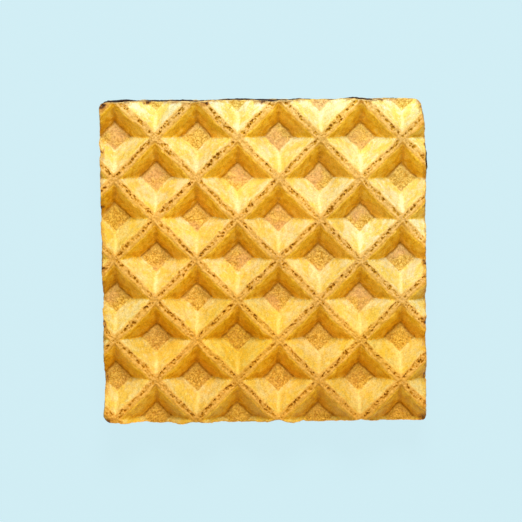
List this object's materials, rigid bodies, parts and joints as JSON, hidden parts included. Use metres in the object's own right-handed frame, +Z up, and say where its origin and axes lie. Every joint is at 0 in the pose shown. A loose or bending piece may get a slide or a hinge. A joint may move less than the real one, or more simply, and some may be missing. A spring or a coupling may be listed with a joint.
{
  "type": "filled wafer cookie",
  "caption": "Square filled wafer cookie lying flat: two thin wafer sheets with a diagonal lattice of deep pockets, and a dark cocoa filling between them.",
  "frame": {"origin": "middle of the cookie's outline, on the surface that it lies on", "axes": "+Z up through the cookie, +X and +Y along its sawn sides, +Y towards the back side"},
  "size_m": [0.0556, 0.0558, 0.0122],
  "materials": {
    "wafer": "dry baked wafer, pale yellow on the walls, golden brown on the floors, porous browned ridge crests",
    "cocoa_filling": "dark brown cocoa cream, soft satin, crumbly where it was sawn"
  },
  "bodies": {
    "root": {"wafer_sheet_top": "wafer", "cocoa_filling": "cocoa_filling", "wafer_sheet_bottom": "wafer"}
  },
  "joints": []
}
